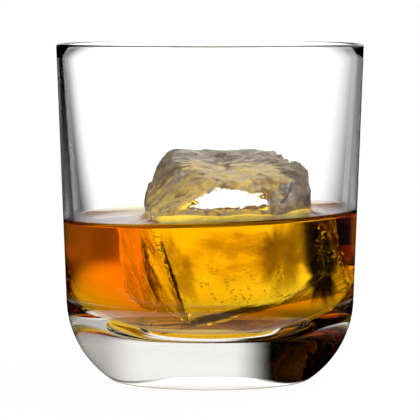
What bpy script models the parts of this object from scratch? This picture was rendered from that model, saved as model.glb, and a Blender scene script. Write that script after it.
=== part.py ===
"""Whiskey on the rocks: a rounded tumbler with a thick base, whiskey and one block of ice.

Units are metres and +Z is up. The origin is the middle of the foot, on the surface that
the glass stands on. +X is to the right and -Y is the front.
"""

import math

import bmesh
import bpy
from mathutils import Vector, noise

# Glass, outside
GLASS_HEIGHT = 0.0940
RIM_RADIUS = 0.04295
OUTER_TAPER = 0.0371            # the wall's radius lost for each metre down
SHOULDER_HEIGHT = 0.0220        # the straight wall ends here and the round base starts
FOOT_RADIUS = 0.0278
FOOT_LAND = 0.0028              # width of the flat ring that the glass stands on
PUNT_DEPTH = 0.0012             # hollow under the base, inside the ring

# Glass, inside
MOUTH_RADIUS = 0.0416
INNER_TAPER = 0.0656
WELL_CORNER_RADIUS = 0.0230
WELL_FLOOR_HEIGHT = 0.0148
WELL_DISH = 0.0003              # the floor is this much lower at its middle

# Whiskey
LIQUID_LEVEL = 0.0450
MENISCUS_RISE = 0.00165
MENISCUS_LENGTH = 0.0018
LIQUID_TILT = 0.035             # rise of the surface for each metre towards +X

# Ice: a block with melted, rounded edges. Each face has the azimuth and the elevation
# of its normal, in degrees, and its distance from the block's middle.
ICE_CENTRE = (0.0048, 0.0005, 0.0375)
ICE_ROUNDNESS = 30              # a higher power gives sharper edges
ICE_FACES = (
    (187, -12, 0.0205),         # left
    (198, -18, 0.0208),
    (268, -2, 0.0214),          # front
    (321, 2, 0.0230),           # front right
    (20, 10, 0.0216),           # right
    (80, 0, 0.0228),            # back
    (128, 3, 0.0258),
    (165, 0, 0.0240),
    (268, 79, 0.0226),          # top, which slopes down to the front
    (0, 90, 0.0262),
    (225, 50, 0.0252),
    (287, 57, 0.0266),
    (320, 52, 0.0284),
    (195, 42, 0.0258),
    (5, 48, 0.0310),
    (90, 45, 0.0300),
    (340, -70, 0.0205),         # bottom, which rises to the right
    (0, -90, 0.0210),
    (345, -40, 0.0228),
    (292, -45, 0.0264),
    (205, -58, 0.0272),
    (90, -50, 0.0240),
    (40, -33, 0.0294),
)
# Hollows that meltwater has left, and a corner that stands out, with a depth below zero:
# azimuth, elevation, angular radius and depth.
ICE_HOLLOWS = (
    (110, 78, 9, 0.0009),
    (200, 85, 9, 0.0010),
    (250, 76, 10, 0.0012),
    (350, 62, 16, 0.0007),
    (250, 20, 18, 0.0007),
    (300, -8, 16, 0.0006),
    (352, 42, 9, -0.0020),
)
MELT_RELIEF = 0.00035
MELT_SCALE = 2.6

# Modelling
CLEARANCE = 0.0003              # between two pieces that touch
TURN_STEPS = 64
ICE_SUBDIVISIONS = 4
LIP_STEPS = 6
BASE_STEPS = 9
CORNER_STEPS = 9
MERGE_DISTANCE = 0.00001


def clear_scene():
    """Remove the objects of the opening scene."""
    for scene_object in list(bpy.data.objects):
        bpy.data.objects.remove(scene_object, do_unlink=True)


def new_collection(name):
    collection = bpy.data.collections.new(name)
    bpy.context.scene.collection.children.link(collection)
    return collection


def clear_material(name, colour, roughness, ior, alpha):
    """A clear material for one piece."""
    material = bpy.data.materials.new(name)
    material.use_nodes = True
    shader = material.node_tree.nodes["Principled BSDF"]
    shader.inputs["Base Color"].default_value = (*colour, 1.0)
    shader.inputs["Roughness"].default_value = roughness
    shader.inputs["Metallic"].default_value = 0.0
    shader.inputs["IOR"].default_value = ior
    shader.inputs["Transmission Weight"].default_value = 1.0
    shader.inputs["Alpha"].default_value = alpha
    return material


def outer_radius(height):
    """Radius of the straight outside wall."""
    return RIM_RADIUS - OUTER_TAPER * (GLASS_HEIGHT - height)


def inner_radius(height):
    """Radius of the straight inside wall."""
    return MOUTH_RADIUS - INNER_TAPER * (GLASS_HEIGHT - height)


def arc(centre, radius, first_angle, last_angle, steps):
    """Points (radius, height) of an arc, from the first angle to the last, in radians."""
    points = []
    for step in range(steps + 1):
        angle = first_angle + (last_angle - first_angle) * step / steps
        points.append((centre[0] + radius * math.cos(angle), centre[1] + radius * math.sin(angle)))
    return points


def well_profile(offset, last_angle):
    """The inside of the glass from its axis to the straight wall, moved inwards by offset.

    The floor is a shallow dish, and an arc joins it to the wall.
    """
    wall_angle = math.atan(INNER_TAPER)
    centre_height = WELL_FLOOR_HEIGHT + WELL_CORNER_RADIUS
    tangent_height = centre_height - WELL_CORNER_RADIUS * math.sin(wall_angle)
    centre_radius = inner_radius(tangent_height) - WELL_CORNER_RADIUS * math.cos(wall_angle)
    corner = arc((centre_radius, centre_height), WELL_CORNER_RADIUS - offset,
                 -math.pi / 2, last_angle, CORNER_STEPS)
    floor = [(0.0, WELL_FLOOR_HEIGHT - WELL_DISH + offset),
             (centre_radius / 2, WELL_FLOOR_HEIGHT - WELL_DISH * 3 / 4 + offset)]
    return floor + corner


def base_profile():
    """The round outside of the base, from the straight wall down to the foot."""
    wall_angle = math.atan(OUTER_TAPER)
    start_radius = outer_radius(SHOULDER_HEIGHT)
    inset = start_radius - FOOT_RADIUS
    lean = inset * math.cos(wall_angle) - SHOULDER_HEIGHT * math.sin(wall_angle)
    base_radius = (inset ** 2 + SHOULDER_HEIGHT ** 2) / (2 * lean)
    centre = (start_radius - base_radius * math.cos(wall_angle),
              SHOULDER_HEIGHT + base_radius * math.sin(wall_angle))
    foot_angle = -math.acos((FOOT_RADIUS - centre[0]) / base_radius)
    return arc(centre, base_radius, -wall_angle, foot_angle, BASE_STEPS)


def glass_profile():
    """Up the inside from the axis, over the lip, down the outside and back to the axis."""
    lip_radius = (outer_radius(GLASS_HEIGHT) - inner_radius(GLASS_HEIGHT)) / 2
    lip_centre = (inner_radius(GLASS_HEIGHT) + lip_radius, GLASS_HEIGHT - lip_radius)
    inside = well_profile(0.0, -math.atan(INNER_TAPER))
    lip = arc(lip_centre, lip_radius, math.pi, 0.0, LIP_STEPS)
    foot_inside = FOOT_RADIUS - FOOT_LAND
    underside = [(foot_inside, 0.0),
                 (foot_inside * 0.95, PUNT_DEPTH * 0.4),
                 (foot_inside * 0.62, PUNT_DEPTH * 0.8),
                 (0.0, PUNT_DEPTH)]
    return inside + lip + base_profile() + underside


def liquid_profile():
    """From the middle of the surface out to the wall, down the wall and along the floor."""
    contact_height = LIQUID_LEVEL + MENISCUS_RISE
    contact_radius = inner_radius(contact_height) - CLEARANCE
    surface = [(0.0, LIQUID_LEVEL)]
    for distance in (0.0100, 0.0045, 0.0026, 0.0014, 0.0006, 0.0):
        rise = MENISCUS_RISE * math.exp(-distance / MENISCUS_LENGTH)
        surface.append((contact_radius - distance, LIQUID_LEVEL + rise))
    well = well_profile(CLEARANCE, -math.atan(INNER_TAPER))
    return surface + well[::-1]


def turned_object(name, profile, collection):
    """Turn a profile about the Z axis with a Screw modifier."""
    mesh = bpy.data.meshes.new(name)
    edges = [(index, index + 1) for index in range(len(profile) - 1)]
    mesh.from_pydata([(radius, 0.0, height) for radius, height in profile], edges, [])
    turned = bpy.data.objects.new(name, mesh)
    collection.objects.link(turned)
    screw = turned.modifiers.new("Turn", "SCREW")
    screw.axis = "Z"
    screw.steps = TURN_STEPS
    screw.render_steps = TURN_STEPS
    screw.use_merge_vertices = True
    screw.merge_threshold = MERGE_DISTANCE
    screw.use_smooth_shade = True
    return turned


def make_glass(collection):
    glass = turned_object("glass", glass_profile(), collection)
    glass.data.materials.append(clear_material("glass", (1.0, 1.0, 1.0), 0.0, 1.50, 0.35))
    return glass


def direction(azimuth, elevation):
    """Unit vector from two angles in degrees."""
    azimuth = math.radians(azimuth)
    elevation = math.radians(elevation)
    return Vector((math.cos(elevation) * math.cos(azimuth),
                   math.cos(elevation) * math.sin(azimuth),
                   math.sin(elevation)))


def ice_radius(towards):
    """Distance from the block's middle to its surface along a unit vector.

    A sum of high powers over the faces is a polyhedron with softly rounded edges.
    """
    total = 0.0
    for azimuth, elevation, distance in ICE_FACES:
        facing = towards.dot(direction(azimuth, elevation)) / distance
        total += max(facing, 0.0) ** ICE_ROUNDNESS
    radius = total ** (-1.0 / ICE_ROUNDNESS)
    for azimuth, elevation, width, depth in ICE_HOLLOWS:
        angle = math.degrees(towards.angle(direction(azimuth, elevation)))
        radius -= depth * math.exp(-(angle / width) ** 2)
    return radius + MELT_RELIEF * noise.noise(towards * MELT_SCALE)


def make_ice(collection):
    """An icosphere whose points are moved out or in to the block's surface."""
    sphere = bmesh.new()
    bmesh.ops.create_icosphere(sphere, subdivisions=ICE_SUBDIVISIONS, radius=1.0)
    for vert in sphere.verts:
        towards = vert.co.normalized()
        vert.co = towards * ice_radius(towards)
    mesh = bpy.data.meshes.new("ice")
    sphere.to_mesh(mesh)
    sphere.free()
    mesh.shade_smooth()
    ice = bpy.data.objects.new("ice", mesh)
    ice.location = ICE_CENTRE
    collection.objects.link(ice)
    mesh.materials.append(clear_material("ice", (0.96, 0.97, 0.98), 0.05, 1.31, 0.45))
    return ice


def make_ice_cutter(ice, cutters):
    """The block grown by the clearance, which makes room for it in the whiskey."""
    grown = bmesh.new()
    grown.from_mesh(ice.data)
    grown.normal_update()
    moves = [(vert, vert.normal * CLEARANCE) for vert in grown.verts]
    for vert, move in moves:
        vert.co += move
    mesh = bpy.data.meshes.new("ice_room")
    grown.to_mesh(mesh)
    grown.free()
    cutter = bpy.data.objects.new("ice_room", mesh)
    cutter.location = ice.location
    cutter.display_type = "WIRE"
    cutter.hide_render = True
    cutters.objects.link(cutter)
    return cutter


def tilt_surface(mesh):
    """Tilt the liquid's surface, and keep its edge at the clearance from the wall."""
    contact_height = LIQUID_LEVEL + MENISCUS_RISE
    contact_radius = inner_radius(contact_height) - CLEARANCE
    surface_points = [point for point in mesh.vertices if point.co.z > LIQUID_LEVEL - MERGE_DISTANCE]
    for point in surface_points:
        lift = LIQUID_TILT * point.co.x
        stretch = 1.0 + INNER_TAPER * lift / contact_radius
        point.co.x *= stretch
        point.co.y *= stretch
        point.co.z += lift


def make_whiskey(collection, cutter):
    """The turned liquid with a tilted surface, cut round the ice."""
    guide = turned_object("whiskey_turning", liquid_profile(), collection)
    depsgraph = bpy.context.evaluated_depsgraph_get()
    mesh = bpy.data.meshes.new_from_object(guide.evaluated_get(depsgraph))
    mesh.name = "whiskey"
    bpy.data.objects.remove(guide, do_unlink=True)
    tilt_surface(mesh)
    whiskey = bpy.data.objects.new("whiskey", mesh)
    collection.objects.link(whiskey)
    mesh.materials.append(clear_material("whiskey", (0.85, 0.42, 0.04), 0.0, 1.36, 0.75))
    cut = whiskey.modifiers.new("Room for the ice", "BOOLEAN")
    cut.operation = "DIFFERENCE"
    cut.solver = "EXACT"
    cut.object = cutter
    return whiskey


def main():
    clear_scene()
    drink = new_collection("Whiskey on the rocks")
    cutters = new_collection("Cutters")
    make_glass(drink)
    ice = make_ice(drink)
    cutter = make_ice_cutter(ice, cutters)
    make_whiskey(drink, cutter)


main()
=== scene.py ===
"""The looks of the whiskey on the rocks: a polished tumbler, amber whiskey and melting ice.

Units are metres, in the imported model's frame: +Z is up, -Y is the front and the origin is
the middle of the foot.
"""

import math

import bmesh
import bpy
import numpy as np
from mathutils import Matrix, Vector, noise


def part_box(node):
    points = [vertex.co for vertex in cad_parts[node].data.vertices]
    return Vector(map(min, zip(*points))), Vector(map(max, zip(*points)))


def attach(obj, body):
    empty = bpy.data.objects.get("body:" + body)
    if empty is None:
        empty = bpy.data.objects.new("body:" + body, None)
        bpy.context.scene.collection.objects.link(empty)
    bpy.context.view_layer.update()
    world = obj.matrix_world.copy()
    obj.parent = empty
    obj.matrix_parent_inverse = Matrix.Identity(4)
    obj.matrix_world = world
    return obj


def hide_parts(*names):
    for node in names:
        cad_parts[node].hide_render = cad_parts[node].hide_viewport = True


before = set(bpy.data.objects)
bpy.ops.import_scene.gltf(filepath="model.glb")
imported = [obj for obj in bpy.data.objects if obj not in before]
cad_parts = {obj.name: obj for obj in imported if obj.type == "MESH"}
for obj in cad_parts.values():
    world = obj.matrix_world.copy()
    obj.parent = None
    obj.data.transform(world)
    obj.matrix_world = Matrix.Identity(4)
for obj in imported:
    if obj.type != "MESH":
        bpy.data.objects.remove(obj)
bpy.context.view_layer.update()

# Glass, from the frame's box where that gives a size. Tapers are radius for each metre.
GLASS_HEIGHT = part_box("glass")[1][2]
RIM_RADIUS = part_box("glass")[1][0]
OUTER_TAPER = 0.0371
SHOULDER_HEIGHT = 0.0220
FOOT_RADIUS = 0.0278
FOOT_LAND = 0.0028
FOOT_EDGE = 0.0009
PUNT_DEPTH = 0.0012
MOUTH_RADIUS = 0.0416
INNER_TAPER = 0.0656
WELL_CORNER_RADIUS = 0.0230
WELL_FLOOR_HEIGHT = 0.0148
WELL_DISH = 0.0003

# Whiskey
LIQUID_LEVEL = 0.0450
LIQUID_TILT = 0.035
WALL_RISE = 0.00165             # meniscus at the wall
ICE_RISE = 0.00190              # and round the ice
MENISCUS_LENGTH = 0.0018
CONTACT = 0.00006               # how far the liquid reaches into the glass and the ice

# Ice: faces as azimuth, elevation of the normal in degrees, and distance from the middle
ICE_CENTRE = np.array((0.0048, 0.0005, 0.0375))
ICE_ROUNDNESS = 40              # edges are sharper as this grows
ICE_FACES = (
    (187, -12, 0.0205),         # left
    (198, -18, 0.0208),
    (268, -2, 0.0214),          # front
    (321, 2, 0.0230),           # front right
    (20, 10, 0.0216),           # right
    (80, 0, 0.0228),            # back
    (128, 3, 0.0258),
    (165, 0, 0.0240),
    (268, 79, 0.0226),          # top, which slopes down to the front
    (0, 90, 0.0262),
    (225, 50, 0.0252),
    (287, 57, 0.0266),
    (320, 52, 0.0284),
    (195, 42, 0.0258),
    (5, 48, 0.0310),
    (90, 45, 0.0300),
    (340, -70, 0.0205),         # bottom, which rises to the right
    (0, -90, 0.0210),
    (345, -40, 0.0228),
    (292, -45, 0.0264),
    (205, -58, 0.0272),
    (90, -50, 0.0240),
    (40, -33, 0.0294),
)
# Hollows and one corner that stands out: azimuth, elevation, angular radius and depth
ICE_HOLLOWS = (
    (110, 78, 9, 0.0009),
    (200, 85, 9, 0.0010),
    (250, 76, 10, 0.0012),
    (350, 62, 16, 0.0007),
    (250, 20, 18, 0.0007),
    (300, -8, 16, 0.0006),
    (352, 42, 9, -0.0020),
)

# Air in the ice. Bands run between two places, as azimuth and elevation in degrees, and give
# the number of bubbles, the two ends and the spread.
BUBBLE_BANDS = (
    (170, (197, 12), (203, -48), 1.6),      # left edge
    (150, (224, 14), (240, -44), 1.3),      # front left edge
    (130, (242, -44), (300, -26), 1.6),     # front of the bottom
    (170, (334, 10), (338, -30), 2.2),      # right edge
)
# Trails run down the front
BUBBLE_TRAILS = 24
TRAIL_AZIMUTHS = (246, 282)
TRAIL_ELEVATIONS = (-40, -8)
TRAIL_LENGTHS = (6, 16)
BUBBLE_RADIUS = 0.00006         # of the smallest
BUBBLE_GROWTH = 0.00020         # of the largest, beyond that
BUBBLE_COVER = 0.0001           # the least ice over a bubble
BUBBLE_DEPTH = 0.0012           # the most, beyond that
BUBBLE_SEED = 7

# Clefts: middle, two directions along the sheet, half the width and height, how the cloudy
# streaks run (scale along X and Z) and how dark the cleft is
VEILS = (
    # Every cleft's brown and its darkness are painted amber light and painted shade.
    ((-0.0072, -0.0172, 0.0325), (1, -0.1, 0), (-0.30, 0, 1), 0.0040, 0.0125, (1.0, 0.45), 0.30),
    ((0.0075, -0.0178, 0.0400), (1, 0.0, 0), (0, 0, 1), 0.0130, 0.0040, (0.4, 1.0), 0.20),
    ((0.0165, -0.0155, 0.0350), (1, 0.35, 0), (0, 0, 1), 0.0066, 0.0120, (1.0, 0.25), 0.40),
    ((0.0255, -0.0070, 0.0308), (0.63, 0.78, 0), (0, 0, 1), 0.0062, 0.0115, (0.8, 0.6), 1.00),
    ((0.0060, 0.0100, 0.0330), (1, 0.10, 0), (0, 0, 1), 0.0150, 0.0090, (0.6, 0.6), 0.15),
    # These three are thin dark strips along the lower front edge and the left side and front-left
    # edge: painted shade.
    ((0.0045, -0.0190, 0.0196), (1, 0.0, 0.24), (0, 0.4, 1), 0.0150, 0.0014, (0.5, 1.6), 0.80),
    ((-0.0134, -0.0040, 0.0312), (1, -0.1, 0), (-0.21, 0, 1), 0.0008, 0.0118, (2.0, 0.8), 0.85),
    ((-0.0086, -0.0195, 0.0300), (1, 0.3, 0), (-0.25, 0, 1), 0.0006, 0.0125, (2.0, 0.8), 0.80),
)
VEIL_THICKNESS = 0.00016
VEIL_WAVE_HEIGHT = 0.0009
VEIL_WAVE_SIZE = 0.0050
VEIL_RAGGEDNESS = 0.35          # how far the outline goes in and out
VEIL_LOBES = 2.1                # the outline has more lobes as this grows

# Relief of the ice. The creases are in its dry part only. The grain and the chips grow towards
# the edges, and more so where the ice is wet.
WAVE_HEIGHT = 0.00045
WAVE_SIZE = 0.0090
CREASE_DEPTH = 0.0012
CREASE_SIZE = 0.0078
GRAIN_HEIGHT = 0.00006
GRAIN_AT_EDGES = 0.0004
GRAIN_WHERE_WET = 0.0008
GRAIN_SIZE = 0.0020
CHIPS_AT_EDGES = 0.0003
CHIPS_WHERE_WET = 0.0007
CHIP_SIZE = 0.0009

# The clear, melted patch on the front. Pairs are where an edge starts and where it is complete.
PATCH_BOTTOM = (0.0484, 0.0490)
PATCH_LEFT = (-0.0105, -0.0090)
PATCH_RIGHT = (0.0160, 0.0172)
PATCH_LEFT_TOP = 0.0497
PATCH_SLANT = 0.51
PATCH_PEAK = 0.0558
PATCH_PEAK_ACROSS = 0.0050
PATCH_FALL = 0.08

# Haze of the dry ice. How pale it is goes from 0, brown as painted amber light and shade, to 1.
HAZE_SIZE = 0.0050
TOP_CLEARNESS = 0.55
RIGHT_CLEARNESS = 0.60
CLOUD_SIZE = 0.0065
CLOUD_PALLOR = 0.55
FLECK_SIZE = 0.0016
FLECK_PALLOR = 0.5
# A grainy band of frost painted palest: painted glints for its sparkle
GLINT_BAND_ABOVE_PATCH = 0.0010
GLINT_BAND_WIDTH = 0.0016
GLINT_BAND_END = (0.0010, 0.0060)
GLINT_GRAIN_SIZE = 0.0012

# Materials
WHITE = (1.0, 1.0, 1.0, 1.0)
BLACK = (0.0, 0.0, 0.0, 1.0)
GLASS_IOR = 1.50
WHISKEY_IOR = 1.36
ICE_IOR = 1.31
WHISKEY_COLOUR = (0.987, 0.874, 0.041, 1.0)
WHISKEY_DENSITY = 250.0
ICE_COLOUR = (1.0, 0.99, 0.97, 1.0)
HAZE_AMBER_SHADE = (0.20, 0.12, 0.07, 1.0)
HAZE_PALE = (1.0, 0.86, 0.78, 1.0)
HAZE_ROUGHNESS = 0.18
HAZE_TRANSMISSION = 0.33
HAZE_GRAIN_SCALE = 260.0        # noise scales are features for each metre
THAW_GRAIN_SCALE = 600.0
THAW_GRAIN_HEIGHT = 0.0004
WISP_SCALE = 230.0

# Light from the world. Each pair gives two values of a direction's X, Y or Z, and the light
# changes smoothly between them.
LEFT_DARKNESS = (-0.31, -0.10)
FRONT_DARKNESS = (-1.1, -0.2)
HORIZON = (-0.01, 0.01)
RIGHT_DIMNESS = (0.34, 0.62)
LOW_DIMNESS = (0.36, 0.20)
DIMMED_LIGHT = 0.55

# Painted light: a glowing card stands in for the lit floor behind and under the glass.
# The floor as the glass shows it. Pairs are where a change starts and where it is complete, in
# metres from the glass's axis or in degrees to one side of straight behind.
FAR_FLOOR = (0.16, 0.42)
LEFT_START = (9, 19)
LEFT_FADE = (48, 66)
LEFT_END = (80, 110)
RIGHT_START = (5, 22)
RIGHT_FADE = (24, 34)
RIGHT_END = (80, 120)
NEAR_FLOOR = (0.045, 0.080)
BESIDE_START = (14, 40)
BESIDE_END = (90, 130)
CONTACT_SHADE = (0.032, 0.085)
BRIGHT_FLOOR = (0.07, 0.16)
BRIGHT_END = (16, 38)

# The floor that the camera sees
FLOOR_SIZE = 200.0
FLOOR_GREY = (0.10, 0.10, 0.10, 1.0)
FLOOR_GLOW = 0.97

CAMERA_PLACE = (0.0, -0.870, 0.1095)
CAMERA_AIM = (0.0, 0.0, 0.0473)
CAMERA_LENS = 266.5

# Resolution
GLASS_COLUMNS = 256
WELL_FLOOR_STEPS = 16
WELL_CORNER_STEPS = 36
WELL_WALL_STEPS = 14
LIP_STEPS = 16
OUTSIDE_STEPS = 20
BASE_STEPS = 48
LAND_STEPS = 4
PUNT_STEPS = 16
COLUMNS = 400
WET_ROWS = 110
DRY_ROWS = 95
SURFACE_RINGS = 40
LIQUID_SIDE_STEPS = 24
VEIL_RINGS = 24
VEIL_COLUMNS = 72


# ---------------------------------------------------------------- shapes

def smooth(value, low, high):
    """Rises smoothly from 0 to 1 as value goes from low to high."""
    share = np.clip((value - low) / (high - low), 0.0, 1.0)
    return share * share * (3 - 2 * share)


def outer_radius(height):
    return RIM_RADIUS - OUTER_TAPER * (GLASS_HEIGHT - height)


def inner_radius(height):
    return MOUTH_RADIUS - INNER_TAPER * (GLASS_HEIGHT - height)


def arc(centre, radius, first_angle, last_angle, steps):
    """Points (radius, height) along an arc, both ends included."""
    angles = np.linspace(first_angle, last_angle, steps + 1)
    return [(centre[0] + radius * math.cos(angle), centre[1] + radius * math.sin(angle))
            for angle in angles]


def line(start, end, steps):
    """Points from start towards end, without the end."""
    shares = np.arange(steps) / steps
    return [(start[0] + (end[0] - start[0]) * share, start[1] + (end[1] - start[1]) * share)
            for share in shares]


def well_profile(offset):
    """The glass's inside from near the axis to the straight wall, moved outwards by offset."""
    wall_angle = math.atan(INNER_TAPER)
    centre_height = WELL_FLOOR_HEIGHT + WELL_CORNER_RADIUS
    tangent_height = centre_height - WELL_CORNER_RADIUS * math.sin(wall_angle)
    centre_radius = inner_radius(tangent_height) - WELL_CORNER_RADIUS * math.cos(wall_angle)
    floor = []
    for step in range(1, WELL_FLOOR_STEPS):
        share = step / WELL_FLOOR_STEPS
        height = WELL_FLOOR_HEIGHT - WELL_DISH * (1 + math.cos(math.pi * share)) / 2 - offset
        floor.append((centre_radius * share, height))
    corner = arc((centre_radius, centre_height), WELL_CORNER_RADIUS + offset,
                 -math.pi / 2, -wall_angle, WELL_CORNER_STEPS)
    return floor + corner


def base_profile():
    """The round outside of the base, from the straight wall to the foot."""
    wall_angle = math.atan(OUTER_TAPER)
    start_radius = outer_radius(SHOULDER_HEIGHT)
    inset = start_radius - FOOT_RADIUS
    lean = inset * math.cos(wall_angle) - SHOULDER_HEIGHT * math.sin(wall_angle)
    base_radius = (inset ** 2 + SHOULDER_HEIGHT ** 2) / (2 * lean)
    centre = (start_radius - base_radius * math.cos(wall_angle),
              SHOULDER_HEIGHT + base_radius * math.sin(wall_angle))
    foot_angle = -math.acos((FOOT_RADIUS - centre[0]) / base_radius)
    return arc(centre, base_radius, -wall_angle, foot_angle, BASE_STEPS)


def lip_profile():
    """Over the rounded lip, from the inside to the outside."""
    lip_radius = (outer_radius(GLASS_HEIGHT) - inner_radius(GLASS_HEIGHT)) / 2
    lip_centre = (inner_radius(GLASS_HEIGHT) + lip_radius, GLASS_HEIGHT - lip_radius)
    return arc(lip_centre, lip_radius, math.pi, 0.0, LIP_STEPS)


def outside_profile(lip_end):
    """Down the outside from the lip and under the foot, without the middle."""
    base = base_profile()
    wall = line(lip_end, base[0], OUTSIDE_STEPS)[1:]
    foot_inside = FOOT_RADIUS - FOOT_LAND
    land = line((FOOT_RADIUS - FOOT_EDGE / 2, 0.0), (foot_inside, 0.0), LAND_STEPS)
    punt = []
    for step in range(PUNT_STEPS):
        share = step / PUNT_STEPS
        height = PUNT_DEPTH * (1 - math.cos(math.pi * min(1.0, share * 2.2))) / 2
        punt.append((foot_inside * (1 - share), height))
    return wall + base + land + punt


def liquid_edge_height(turns):
    """Height of the liquid's edge on the wall, for each angle round the axis."""
    height = np.full(len(turns), LIQUID_LEVEL + WALL_RISE)
    for _ in range(4):
        height = LIQUID_LEVEL + LIQUID_TILT * inner_radius(height) * np.cos(turns) + WALL_RISE
    return height


def full_turn(columns):
    """Angles round the axis."""
    return np.arange(columns) * 2 * math.pi / columns


def ring_points(radius, turns, height):
    """Points round the axis. The radius and the height may differ from point to point."""
    return np.stack((radius * np.cos(turns), radius * np.sin(turns),
                     np.zeros_like(turns) + height), axis=-1)


def wall_rings(turns, low, high, steps):
    """Rings up the inside wall between two heights, which may differ round the axis."""
    rings = []
    for step in range(1, steps + 1):
        height = low + (high - low) * step / steps
        rings.append(ring_points(inner_radius(height), turns, height))
    return np.array(rings)


def spin(profile, turns):
    """Rings of points from a profile of (radius, height)."""
    return np.array([ring_points(radius, turns, height) for radius, height in profile])


def add_object(name, data):
    thing = bpy.data.objects.new(name, data)
    bpy.context.scene.collection.objects.link(thing)
    return thing


def skin(name, first_pole, rings, last_pole, open_bands):
    """A closed surface: a point, rings with the same number of points each, and a point.

    Band 0 lies between the first point and the first ring, and so on. The face attribute
    open_air is 1 on the open bands, and 0 where the surface touches another piece.
    """
    rows, columns = rings.shape[:2]
    points = np.concatenate(([first_pole], rings.reshape(-1, 3), [last_pole]))
    here = np.arange(columns)
    after = (here + 1) % columns
    faces = [(0, 1 + b, 1 + a) for a, b in zip(here, after)]
    for row in range(rows - 1):
        low = 1 + row * columns
        high = low + columns
        faces += list(zip(low + here, low + after, high + after, high + here))
    last = len(points) - 1
    low = 1 + (rows - 1) * columns
    faces += [(last, low + a, low + b) for a, b in zip(here, after)]
    mesh = bpy.data.meshes.new(name)
    mesh.from_pydata(points.tolist(), [], [tuple(int(i) for i in face) for face in faces])
    if signed_volume(mesh) < 0:
        mesh.flip_normals()
    mesh.shade_smooth()
    is_open = [1.0 if band in open_bands else 0.0 for band in range(rows + 1)]
    attribute = mesh.attributes.new("open_air", "FLOAT", "FACE")
    attribute.data.foreach_set("value", np.repeat(is_open, columns))
    return add_object(name, mesh)


def vertex_values(mesh, value):
    """A vector for each vertex: its place, co, or its normal."""
    values = np.empty(len(mesh.vertices) * 3)
    mesh.vertices.foreach_get(value, values)
    return values.reshape(-1, 3)


def signed_volume(mesh):
    """Above zero where the faces point out."""
    mesh.calc_loop_triangles()
    corners = np.empty(len(mesh.loop_triangles) * 3, int)
    mesh.loop_triangles.foreach_get("vertices", corners)
    a, b, c = vertex_values(mesh, "co")[corners.reshape(-1, 3)].transpose(1, 0, 2)
    return float(np.einsum("ij,ij->i", a, np.cross(b, c)).sum() / 6)


def add_vertex_value(mesh, name, values):
    attribute = mesh.attributes.new(name, "FLOAT", "POINT")
    attribute.data.foreach_set("value", values)


# ---------------------------------------------------------------- ice

def directions(azimuths, elevations):
    return np.stack((np.cos(elevations) * np.cos(azimuths),
                     np.cos(elevations) * np.sin(azimuths),
                     np.sin(elevations)), axis=-1)


FACE_TABLE = np.array(ICE_FACES, float)
FACE_NORMALS = directions(np.radians(FACE_TABLE[:, 0]), np.radians(FACE_TABLE[:, 1]))
FACE_DISTANCES = FACE_TABLE[:, 2]


def fractal(points, size, octaves):
    """Smooth noise from -1 to 1 with features of about the given size in metres."""
    return np.array([noise.fractal(Vector(point / size), 1.0, 2.0, octaves) for point in points])


def ice_shape(towards):
    """Radius along unit vectors from the block's middle, and how near an edge each one is."""
    facing = np.maximum(towards @ FACE_NORMALS.T, 0.0) / FACE_DISTANCES
    powers = facing ** ICE_ROUNDNESS
    total = powers.sum(axis=1)
    radius = total ** (-1.0 / ICE_ROUNDNESS)
    # Near an edge several faces share the surface, and their mean normal is shorter than 1
    blend = np.linalg.norm((powers / total[:, None]) @ FACE_NORMALS, axis=1)
    edge = np.minimum(4.0 * (1.0 - blend), 0.6)
    for azimuth, elevation, width, depth in ICE_HOLLOWS:
        axis = directions(math.radians(azimuth), math.radians(elevation))
        angle = np.degrees(np.arccos(np.clip(towards @ axis, -1.0, 1.0)))
        radius -= depth * np.exp(-(angle / width) ** 2)
    return radius, edge


def ice_points(towards):
    """Points of the block's surface along unit vectors from its middle."""
    radius, edge = ice_shape(towards)
    points = towards * radius[:, None]
    wet = 1.0 - smooth(points[:, 2] + ICE_CENTRE[2], LIQUID_LEVEL - 0.002, LIQUID_LEVEL + 0.001)
    # The front and the back are calmer than the sides and the top
    calm = smooth(np.abs(towards[:, 1]), 0.60, 0.80) * (1.0 - smooth(towards[:, 2], 0.55, 0.70))
    grain = GRAIN_HEIGHT + (GRAIN_AT_EDGES + GRAIN_WHERE_WET * wet) * edge
    chips = (CHIPS_AT_EDGES + CHIPS_WHERE_WET * wet) * edge
    radius += WAVE_HEIGHT * (1.0 - 0.8 * calm) * fractal(points, WAVE_SIZE, 2)
    radius -= CREASE_DEPTH * (1.0 - wet) * (1.0 - calm) * np.abs(fractal(points, CREASE_SIZE, 2))
    radius += grain * fractal(points, GRAIN_SIZE, 3)
    radius += chips * fractal(points, CHIP_SIZE, 2)
    return ICE_CENTRE + towards * radius[:, None]


def liquid_height(points):
    """Height of the flat, slightly tilted surface."""
    return LIQUID_LEVEL + LIQUID_TILT * points[..., 0]


def contact_elevations(azimuths):
    """For each azimuth from the block's middle, the elevation where the liquid meets the ice.

    The liquid climbs the ice by an amount that varies along the line, and bisection finds it.
    """
    rise = ICE_RISE * (1.0 + 0.25 * np.sin(3 * azimuths + 1.0) * np.sin(5 * azimuths))
    low = np.full(len(azimuths), math.radians(-50))
    high = np.full(len(azimuths), math.radians(70))
    for _ in range(22):
        middle = (low + high) / 2
        points = ice_points(directions(azimuths, middle))
        wet = points[:, 2] < liquid_height(points) + rise
        low = np.where(wet, middle, low)
        high = np.where(wet, high, middle)
    return (low + high) / 2


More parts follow.
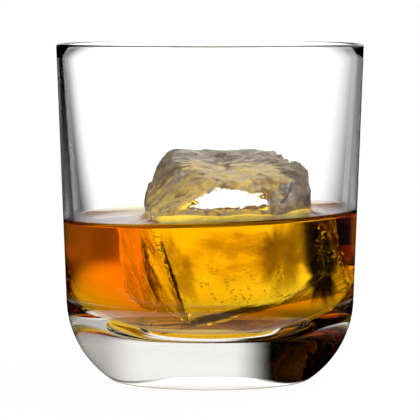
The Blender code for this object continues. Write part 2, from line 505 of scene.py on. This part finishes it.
def ice_rings():
    """Rings of the block from its bottom to its top, and the two points at the ends."""
    azimuths = full_turn(COLUMNS)
    contact = contact_elevations(azimuths)
    bottom = -math.pi / 2
    top = math.pi / 2
    rings = []
    for row in range(1, WET_ROWS + 1):
        share = row / WET_ROWS
        rings.append(ice_points(directions(azimuths, bottom + (contact - bottom) * share)))
    for row in range(1, DRY_ROWS):
        share = row / DRY_ROWS
        rings.append(ice_points(directions(azimuths, contact + (top - contact) * share)))
    poles = ice_points(directions(np.zeros(2), np.array((bottom, top))))
    return np.array(rings), poles


# ---------------------------------------------------------------- materials

def new_material(name):
    """A material, its node tree and its Principled BSDF."""
    material = bpy.data.materials.new(name)
    material.use_nodes = True
    tree = material.node_tree
    return material, tree, tree.nodes["Principled BSDF"]


def attribute_node(tree, name):
    node = tree.nodes.new("ShaderNodeAttribute")
    node.attribute_name = name
    return node


def noise_node(tree, place, scale, detail):
    node = tree.nodes.new("ShaderNodeTexNoise")
    node.inputs["Scale"].default_value = scale
    node.inputs["Detail"].default_value = detail
    tree.links.new(place, node.inputs["Vector"])
    return node


def smooth_range(tree, value, low, high):
    """A node that rises smoothly from 0 to 1 as value goes from low to high."""
    ramp = tree.nodes.new("ShaderNodeMapRange")
    ramp.interpolation_type = "SMOOTHSTEP"
    ramp.inputs["From Min"].default_value = low
    ramp.inputs["From Max"].default_value = high
    tree.links.new(value, ramp.inputs["Value"])
    return ramp.outputs["Result"]


def mixed_value(tree, factor, low, high):
    """A node that goes from low to high as factor goes from 0 to 1."""
    blend = tree.nodes.new("ShaderNodeMapRange")
    blend.inputs["To Min"].default_value = low
    blend.inputs["To Max"].default_value = high
    tree.links.new(factor, blend.inputs["Value"])
    return blend.outputs["Result"]


def mixed_colour(tree, factor, first):
    """A node that goes from the first colour to its input B as factor goes from 0 to 1."""
    blend = tree.nodes.new("ShaderNodeMix")
    blend.data_type = "RGBA"
    blend.inputs["A"].default_value = first
    tree.links.new(factor, blend.inputs["Factor"])
    return blend


def product(tree, first, second):
    node = tree.nodes.new("ShaderNodeMath")
    node.operation = "MULTIPLY"
    tree.links.new(first, node.inputs[0])
    tree.links.new(second, node.inputs[1])
    return node.outputs[0]


def clear_material(name, ior):
    """A clear, refracting surface. Where it touches another clear piece it hardly reflects."""
    material, tree, shader = new_material(name)
    shader.inputs["Base Color"].default_value = WHITE
    shader.inputs["Transmission Weight"].default_value = 1.0
    shader.inputs["IOR"].default_value = ior
    shader.inputs["Roughness"].default_value = 0.0
    tree.links.new(attribute_node(tree, "open_air").outputs["Color"], shader.inputs["Specular Tint"])
    return material, tree, shader


def glass_material():
    return clear_material("polished_glass", GLASS_IOR)[0]


def whiskey_material():
    """Clear, and coloured by how far the light goes through it."""
    material, tree, _ = clear_material("whiskey", WHISKEY_IOR)
    absorption = tree.nodes.new("ShaderNodeVolumeAbsorption")
    absorption.inputs["Color"].default_value = WHISKEY_COLOUR
    absorption.inputs["Density"].default_value = WHISKEY_DENSITY
    tree.links.new(absorption.outputs["Volume"], tree.nodes["Material Output"].inputs["Volume"])
    return material


def ice_material():
    """Clear where it is wet or melted. The frost attribute adds haze: pale, or brown as painted
    amber light and shade.
    """
    material, tree, shader = clear_material("clear_ice", ICE_IOR)
    place = tree.nodes.new("ShaderNodeTexCoord").outputs["Object"]
    frost = attribute_node(tree, "frost").outputs["Fac"]
    pallor = attribute_node(tree, "pallor").outputs["Fac"]

    grain = noise_node(tree, place, HAZE_GRAIN_SCALE, 5.0)
    patches = mixed_value(tree, smooth_range(tree, grain.outputs["Fac"], 0.3, 0.6), 0.72, 1.0)
    haze = product(tree, frost, patches)
    tree.links.new(mixed_value(tree, haze, 0.0, HAZE_ROUGHNESS), shader.inputs["Roughness"])
    tree.links.new(mixed_value(tree, haze, 1.0, HAZE_TRANSMISSION),
                   shader.inputs["Transmission Weight"])

    # The brown end is painted amber light and shade, the pale end the haze's own tone
    tone = mixed_colour(tree, pallor, HAZE_AMBER_SHADE)
    tone.inputs["B"].default_value = HAZE_PALE
    tint = mixed_colour(tree, haze, ICE_COLOUR)
    tree.links.new(tone.outputs["Result"], tint.inputs["B"])
    tree.links.new(tint.outputs["Result"], shader.inputs["Base Color"])

    thaw = noise_node(tree, place, THAW_GRAIN_SCALE, 3.0)
    bump = tree.nodes.new("ShaderNodeBump")
    bump.inputs["Distance"].default_value = THAW_GRAIN_HEIGHT
    tree.links.new(thaw.outputs["Fac"], bump.inputs["Height"])
    tree.links.new(frost, bump.inputs["Strength"])
    tree.links.new(bump.outputs["Normal"], shader.inputs["Normal"])
    return material


def bubble_material():
    """Small round lenses with the dark rim that trapped air shows."""
    material, _, shader = new_material("trapped_air")
    shader.inputs["Base Color"].default_value = WHITE
    shader.inputs["Transmission Weight"].default_value = 1.0
    shader.inputs["IOR"].default_value = 2.0
    shader.inputs["Roughness"].default_value = 0.02
    return material


def veil_material(name, streak_scale, painted_darkness):
    """A cloudy cleft in the ice: wispy and half clear, thin at its rim, brown and dark as painted
    amber light and shade.
    """
    material, tree, shader = new_material(name)
    # Painted amber light in the brown, and painted shade as the cleft gets darker
    light = 0.85 * (1.0 - 0.95 * painted_darkness)
    shader.inputs["Base Color"].default_value = (light, 0.68 * light, 0.42 * light, 1.0)
    shader.inputs["Transmission Weight"].default_value = 0.70 * (1.0 - 0.8 * painted_darkness)
    shader.inputs["IOR"].default_value = 1.2
    shader.inputs["Roughness"].default_value = 0.40
    stretch = tree.nodes.new("ShaderNodeMapping")
    stretch.inputs["Scale"].default_value = (streak_scale[0], 1.0, streak_scale[1])
    place = tree.nodes.new("ShaderNodeTexCoord")
    tree.links.new(place.outputs["Object"], stretch.inputs["Vector"])
    wisps = noise_node(tree, stretch.outputs["Vector"], WISP_SCALE, 10.0)
    wisps.inputs["Roughness"].default_value = 0.70
    wisps.inputs["Distortion"].default_value = 0.4
    threshold = 0.46 - 0.16 * painted_darkness
    streaks = smooth_range(tree, wisps.outputs["Fac"], threshold - 0.14, threshold + 0.14)
    cover = product(tree, streaks, attribute_node(tree, "cover").outputs["Fac"])
    tree.links.new(mixed_value(tree, cover, 0.0, 0.35 + 0.65 * painted_darkness), shader.inputs["Alpha"])
    return material


# ---------------------------------------------------------------- pieces

def make_glass():
    """The tumbler, from the middle of its well over the lip to the middle of its foot."""
    turns = full_turn(GLASS_COLUMNS)
    well = well_profile(0.0)
    lip = lip_profile()
    liquid_edge = liquid_edge_height(turns)
    well_rings = spin(well, turns)
    wet_rings = wall_rings(turns, well[-1][1], liquid_edge, WELL_WALL_STEPS)
    dry_rings = wall_rings(turns, liquid_edge, lip[0][1], WELL_WALL_STEPS)
    outer_rings = spin(lip[1:] + outside_profile(lip[-1]), turns)
    rings = np.concatenate((well_rings, wet_rings, dry_rings, outer_rings))
    wet_bands = len(well_rings) + len(wet_rings)
    centre = (0, 0, WELL_FLOOR_HEIGHT - WELL_DISH)
    piece = skin("tumbler", centre, rings, (0, 0, PUNT_DEPTH), range(wet_bands, len(rings) + 1))
    piece.data.materials.append(glass_material())
    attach(piece, "root")
    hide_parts("glass")


def patch_top(points):
    """Height of the upper edge of the melted patch, which slants up from the left."""
    across = points[:, 0]
    slant = PATCH_LEFT_TOP + PATCH_SLANT * (across - PATCH_LEFT[1])
    crown = PATCH_PEAK - PATCH_FALL * np.abs(across - PATCH_PEAK_ACROSS)
    return np.minimum(slant, crown)


def melted_patch(points, normals):
    """1 on the clear, melted patch low on the front."""
    ragged = 0.0005 * fractal(points, 0.0045, 3)
    patch = 1.0 - smooth(points[:, 2] - patch_top(points) + ragged, -0.0004, 0.0004)
    patch *= smooth(points[:, 0], *PATCH_LEFT) * (1.0 - smooth(points[:, 0], *PATCH_RIGHT))
    patch *= smooth(points[:, 2], *PATCH_BOTTOM)
    return patch * smooth(-normals[:, 1], 0.88, 0.95)


def pallor_amounts(mesh):
    """How pale the haze is: 0 is brown, painted amber light and shade. Clouds and flecks are paler.

    The grainy band, palest, is pale frost with painted glints; it runs along the upper edge of the
    melted patch, on its left.
    """
    points = vertex_values(mesh, "co")
    clouds = CLOUD_PALLOR * smooth(fractal(points, CLOUD_SIZE, 4), -0.22, 0.30)
    above_patch = points[:, 2] - patch_top(points)
    # Painted glints: the palest, grainy band over the pale frost
    band = np.exp(-((above_patch - GLINT_BAND_ABOVE_PATCH) / GLINT_BAND_WIDTH) ** 2)
    band *= 1.0 - smooth(points[:, 0], *GLINT_BAND_END)
    glint_grains = smooth(fractal(points, GLINT_GRAIN_SIZE, 2), -0.05, 0.20)
    flecks = FLECK_PALLOR * smooth(fractal(points + 0.05, FLECK_SIZE, 2), 0.28, 0.40)
    return np.clip(clouds + band * glint_grains + flecks, 0.0, 1.0)


def frost_amounts(mesh):
    """How much haze there is: none on the wet faces, the melted patch and the back.

    The top and the right side have less of it than the front and the left.
    """
    points = vertex_values(mesh, "co")
    normals = vertex_values(mesh, "normal")
    dry = np.zeros(len(points))
    dry[1 + WET_ROWS * COLUMNS:] = 1.0
    clear = np.maximum(melted_patch(points, normals), smooth(normals[:, 1], 0.50, 0.75))
    clear = np.maximum(clear, TOP_CLEARNESS * smooth(normals[:, 2], 0.90, 0.98))
    clear = np.maximum(clear, RIGHT_CLEARNESS * smooth(normals[:, 0], 0.70, 0.90))
    uneven = 0.98 + 0.5 * fractal(points, HAZE_SIZE, 3)
    return dry * np.clip((1.0 - clear) * uneven, 0.0, 1.0)


def make_ice(rings, poles):
    piece = skin("ice_block", poles[0], rings, poles[1], range(WET_ROWS, len(rings) + 1))
    add_vertex_value(piece.data, "frost", frost_amounts(piece.data))
    add_vertex_value(piece.data, "pallor", pallor_amounts(piece.data))
    piece.data.materials.append(ice_material())
    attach(piece, "root")
    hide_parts("ice")
    return piece


def joined_spheres(name, centres, radii):
    """One mesh of small spheres."""
    ball = bmesh.new()
    bmesh.ops.create_icosphere(ball, subdivisions=2, radius=1.0)
    corners = np.array([vertex.co[:] for vertex in ball.verts])
    sides = np.array([[vertex.index for vertex in face.verts] for face in ball.faces])
    ball.free()
    points = (centres[:, None, :] + radii[:, None, None] * corners[None]).reshape(-1, 3)
    faces = (sides[None] + len(corners) * np.arange(len(centres))[:, None, None]).reshape(-1, 3)
    mesh = bpy.data.meshes.new(name)
    mesh.from_pydata(points.tolist(), [], faces.tolist())
    mesh.shade_smooth()
    return add_object(name, mesh)


def make_bubbles():
    """Air that melting set free: along the block's edges and in trails on its front."""
    chance = np.random.default_rng(BUBBLE_SEED)
    azimuths = []
    elevations = []
    for count, start, end, spread in BUBBLE_BANDS:
        share = chance.random(count)
        azimuths.append(start[0] + (end[0] - start[0]) * share + chance.normal(0, spread, count))
        elevations.append(start[1] + (end[1] - start[1]) * share + chance.normal(0, spread, count))
    for _ in range(BUBBLE_TRAILS):
        length = chance.integers(*TRAIL_LENGTHS)
        azimuth = chance.uniform(*TRAIL_AZIMUTHS)
        elevation = chance.uniform(*TRAIL_ELEVATIONS)
        azimuths.append(azimuth + np.cumsum(chance.normal(0.3, 1.0, length)))
        elevations.append(elevation - np.cumsum(chance.uniform(0.2, 1.4, length)))
    azimuths = np.radians(np.concatenate(azimuths))
    elevations = np.radians(np.concatenate(elevations))
    surface = ice_points(directions(azimuths, elevations))
    radii = BUBBLE_RADIUS + BUBBLE_GROWTH * chance.random(len(surface)) ** 3
    inward = ICE_CENTRE - surface
    inward /= np.linalg.norm(inward, axis=1)[:, None]
    depth = radii + BUBBLE_COVER + BUBBLE_DEPTH * chance.random(len(surface)) ** 2
    centres = surface + inward * depth[:, None]
    under = centres[:, 2] < liquid_height(centres)
    piece = joined_spheres("air_bubbles", centres[under], radii[under])
    piece.data.materials.append(bubble_material())
    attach(piece, "root")


def make_veil(name, centre, across, up, width, height, seed, material):
    """A thin wavy cleft inside the ice, thinning out to an uneven outline."""
    across = np.array(across) / np.linalg.norm(across)
    up = np.array(up) / np.linalg.norm(up)
    out = np.cross(across, up)
    turns = full_turn(VEIL_COLUMNS)
    reach = 1.0 + VEIL_RAGGEDNESS * fractal(ring_points(VEIL_LOBES, turns, seed), 1.0, 3)
    # From the middle of one side over the rim to the middle of the other
    shares = 1.0 - np.abs(np.arange(2 * VEIL_RINGS + 1) / VEIL_RINGS - 1.0)
    sides = np.where(np.arange(len(shares)) <= VEIL_RINGS, 1.0, -1.0)
    rings = []
    for share, side in zip(shares, sides):
        flat = (np.outer(width * share * reach * np.cos(turns), across)
                + np.outer(height * share * reach * np.sin(turns), up))
        wave = VEIL_WAVE_HEIGHT * fractal(flat + seed, VEIL_WAVE_SIZE, 3)
        half = side * VEIL_THICKNESS / 2 * math.sqrt(1 - share ** 2)
        rings.append(centre + flat + np.outer(wave + half, out))
    piece = skin(name, rings[0][0], np.array(rings[1:-1]), rings[-1][0], ())
    reached = np.concatenate((shares[:1], np.repeat(shares[1:-1], VEIL_COLUMNS), shares[-1:]))
    add_vertex_value(piece.data, "cover", 1.0 - smooth(reached, 0.45, 1.0))
    piece.data.materials.append(material)
    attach(piece, "root")


def make_veils():
    for index, (centre, across, up, width, height, streak_scale, painted_darkness) in enumerate(VEILS):
        name = f"cleft_{index + 1}"
        material = veil_material(name, streak_scale, painted_darkness)
        make_veil(name, centre, across, up, width, height, 3.0 + 5.0 * index, material)


def wall_ring(azimuths):
    """Where rays from the ice's middle meet the glass at the liquid's edge."""
    rays = directions(azimuths, np.zeros(len(azimuths)))
    radius = inner_radius(LIQUID_LEVEL + WALL_RISE) + CONTACT
    for _ in range(3):
        along = rays[:, 0] * ICE_CENTRE[0] + rays[:, 1] * ICE_CENTRE[1]
        reach = np.sqrt(along ** 2 - ICE_CENTRE[0] ** 2 - ICE_CENTRE[1] ** 2 + radius ** 2) - along
        points = ICE_CENTRE + rays * reach[:, None]
        points[:, 2] = liquid_height(points) + WALL_RISE
        radius = inner_radius(points[:, 2]) + CONTACT
    return points


def liquid_surface(shore, wall):
    """Rings from the ice to the wall, with the liquid's edge raised at both."""
    ice_rise = shore[:, 2] - liquid_height(shore)
    wall_radius = inner_radius(LIQUID_LEVEL + WALL_RISE) + CONTACT
    surface = []
    for ring in range(1, SURFACE_RINGS):
        share = (1 - math.cos(math.pi * ring / SURFACE_RINGS)) / 2
        points = shore + (wall - shore) * share
        wall_distance = np.maximum(wall_radius - np.hypot(points[:, 0], points[:, 1]), 0)
        ice_distance = np.linalg.norm((points - shore)[:, :2], axis=1)
        points[:, 2] = (liquid_height(points)
                        + WALL_RISE * np.exp(-wall_distance / MENISCUS_LENGTH)
                        + ice_rise * np.exp(-ice_distance / MENISCUS_LENGTH))
        surface.append(points)
    return surface + [wall]


def make_whiskey(ice_piece, rings, poles):
    """The liquid from its cavity round the ice, over its surface and down the glass."""
    normals = vertex_values(ice_piece.data, "normal")
    wet_normals = normals[1:1 + WET_ROWS * COLUMNS].reshape(WET_ROWS, COLUMNS, 3)
    cavity_pole = poles[0] - CONTACT * normals[0]
    cavity = rings[:WET_ROWS] - CONTACT * wet_normals
    wall = wall_ring(full_turn(COLUMNS))
    surface = liquid_surface(cavity[-1], wall)
    turns = np.arctan2(wall[:, 1], wall[:, 0])
    well = well_profile(CONTACT)[::-1]
    sides = []
    for step in range(1, LIQUID_SIDE_STEPS):
        height = wall[:, 2] + (well[0][1] - wall[:, 2]) * step / LIQUID_SIDE_STEPS
        sides.append(ring_points(inner_radius(height) + CONTACT, turns, height))
    all_rings = np.concatenate((cavity, surface, sides, spin(well, turns)))
    floor_pole = (0, 0, WELL_FLOOR_HEIGHT - WELL_DISH - CONTACT)
    open_bands = range(WET_ROWS, WET_ROWS + SURFACE_RINGS)
    piece = skin("whiskey_fill", cavity_pole, all_rings, floor_pole, open_bands)
    piece.data.set_sharp_from_angle(angle=math.radians(40))
    piece.data.materials.append(whiskey_material())
    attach(piece, "root")
    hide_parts("whiskey")


# ---------------------------------------------------------------- studio

def make_world():
    """Soft light, bright behind and above, dark to the left, in front and below, dimmer at right."""
    world = bpy.data.worlds.new("studio")
    bpy.context.scene.world = world
    world.use_nodes = True
    tree = world.node_tree
    direction = tree.nodes.new("ShaderNodeTexCoord").outputs["Generated"]
    upwards = tree.nodes.new("ShaderNodeSeparateXYZ")
    tree.links.new(direction, upwards.inputs[0])
    level = tree.nodes.new("ShaderNodeVectorMath")
    level.operation = "MULTIPLY"
    level.inputs[1].default_value = (1.0, 1.0, 0.0)
    tree.links.new(direction, level.inputs[0])
    compass = tree.nodes.new("ShaderNodeVectorMath")
    compass.operation = "NORMALIZE"
    tree.links.new(level.outputs[0], compass.inputs[0])
    heading = tree.nodes.new("ShaderNodeSeparateXYZ")
    tree.links.new(compass.outputs[0], heading.inputs[0])
    not_left = smooth_range(tree, heading.outputs["X"], *LEFT_DARKNESS)
    not_front = smooth_range(tree, heading.outputs["Y"], *FRONT_DARKNESS)
    above = smooth_range(tree, upwards.outputs["Z"], *HORIZON)
    right = smooth_range(tree, heading.outputs["X"], *RIGHT_DIMNESS)
    low = smooth_range(tree, upwards.outputs["Z"], *LOW_DIMNESS)
    dimmed = mixed_value(tree, product(tree, right, low), 1.0, DIMMED_LIGHT)
    light = product(tree, product(tree, product(tree, not_left, not_front), above), dimmed)
    background = tree.nodes["Background"]
    background.inputs["Color"].default_value = WHITE
    tree.links.new(light, background.inputs["Strength"])


def floor_glow(azimuth, distance):
    """Painted brightness of the floor that the glass shows. Azimuth 0 is behind, +90 to the right.
    """
    aside = np.abs(azimuth)
    far = smooth(distance, *FAR_FLOOR)
    left = smooth(-azimuth, *LEFT_START) * (1 - 0.5 * smooth(-azimuth, *LEFT_FADE))
    left *= 1 - smooth(-azimuth, *LEFT_END)
    right = (0.78 - 0.12 * smooth(azimuth, *RIGHT_FADE)) * smooth(azimuth, *RIGHT_START)
    right *= 1 - smooth(azimuth, *RIGHT_END)
    near = smooth(distance, *NEAR_FLOOR) * (1 - far)
    beside = 0.85 * smooth(aside, *BESIDE_START) * (1 - smooth(aside, *BESIDE_END))
    # Painted shadow of the glass under its foot, and painted light straight behind
    contact = 0.75 * (1 - smooth(distance, *CONTACT_SHADE))
    behind = 0.45 * smooth(distance, *BRIGHT_FLOOR) * (1 - smooth(aside, *BRIGHT_END))
    sides = 1.0 - far * np.maximum(left, right) - near * beside
    return (1.0 + behind) * sides * (1 - contact)


def make_floor_shade():
    """The floor as the glass shows it, glowing: painted shade to each side and a painted shadow
    under the foot.
    """
    turns = np.radians(np.arange(0, 360, 2.0))
    reaches = np.concatenate((np.linspace(0.0005, 0.60, 40), np.geomspace(0.66, 90.0, 24)))
    azimuths, distances = np.meshgrid(turns, reaches, indexing="xy")
    points = np.stack((distances * np.sin(azimuths), distances * np.cos(azimuths),
                       np.full_like(distances, -0.0001)), axis=-1)
    columns = len(turns)
    faces = []
    for row in range(len(reaches) - 1):
        for column in range(columns):
            after = (column + 1) % columns
            low = row * columns
            high = low + columns
            faces.append((low + column, high + column, high + after, low + after))
    mesh = bpy.data.meshes.new("floor_shade")
    mesh.from_pydata(points.reshape(-1, 3).tolist(), [], faces)
    degrees = (np.degrees(azimuths) + 180) % 360 - 180
    add_vertex_value(mesh, "glow", floor_glow(degrees, distances).ravel())
    material, tree, shader = new_material("floor_shade")
    shader.inputs["Base Color"].default_value = BLACK
    shader.inputs["Specular IOR Level"].default_value = 0.0
    shader.inputs["Emission Color"].default_value = WHITE
    brightness = attribute_node(tree, "glow")
    tree.links.new(brightness.outputs["Fac"], shader.inputs["Emission Strength"])
    mesh.materials.append(material)
    shade = add_object("floor_shade", mesh)
    shade.visible_camera = False
    shade.visible_diffuse = False
    shade.visible_glossy = False
    shade.visible_shadow = False


def make_floor():
    """The white floor that the camera sees. Glass doesn't show it, and nothing reflects it."""
    half = FLOOR_SIZE / 2
    corners = [(-half, -half, 0), (half, -half, 0), (half, half, 0), (-half, half, 0)]
    mesh = bpy.data.meshes.new("floor")
    mesh.from_pydata(corners, [], [(0, 1, 2, 3)])
    material, _, shader = new_material("floor")
    shader.inputs["Base Color"].default_value = FLOOR_GREY
    shader.inputs["Roughness"].default_value = 0.9
    shader.inputs["Specular IOR Level"].default_value = 0.0
    shader.inputs["Emission Color"].default_value = WHITE
    shader.inputs["Emission Strength"].default_value = FLOOR_GLOW
    mesh.materials.append(material)
    floor = add_object("floor", mesh)
    floor.visible_glossy = False
    floor.visible_transmission = False


def make_studio():
    make_world()
    make_floor()
    make_floor_shade()
    scene = bpy.context.scene
    scene.view_settings.view_transform = "Standard"
    scene.cycles.max_bounces = 24
    scene.cycles.transmission_bounces = 24
    scene.cycles.glossy_bounces = 8


def make_camera():
    data = bpy.data.cameras.new("camera")
    data.lens = CAMERA_LENS
    data.sensor_width = 36.0
    camera = add_object("camera", data)
    camera.location = CAMERA_PLACE
    aim = Vector(CAMERA_AIM) - camera.location
    camera.rotation_euler = aim.to_track_quat("-Z", "Y").to_euler()
    bpy.context.scene.camera = camera


make_camera()
make_studio()
make_glass()
ice_grid, ice_poles = ice_rings()
ice_block = make_ice(ice_grid, ice_poles)
make_whiskey(ice_block, ice_grid, ice_poles)
make_bubbles()
make_veils()
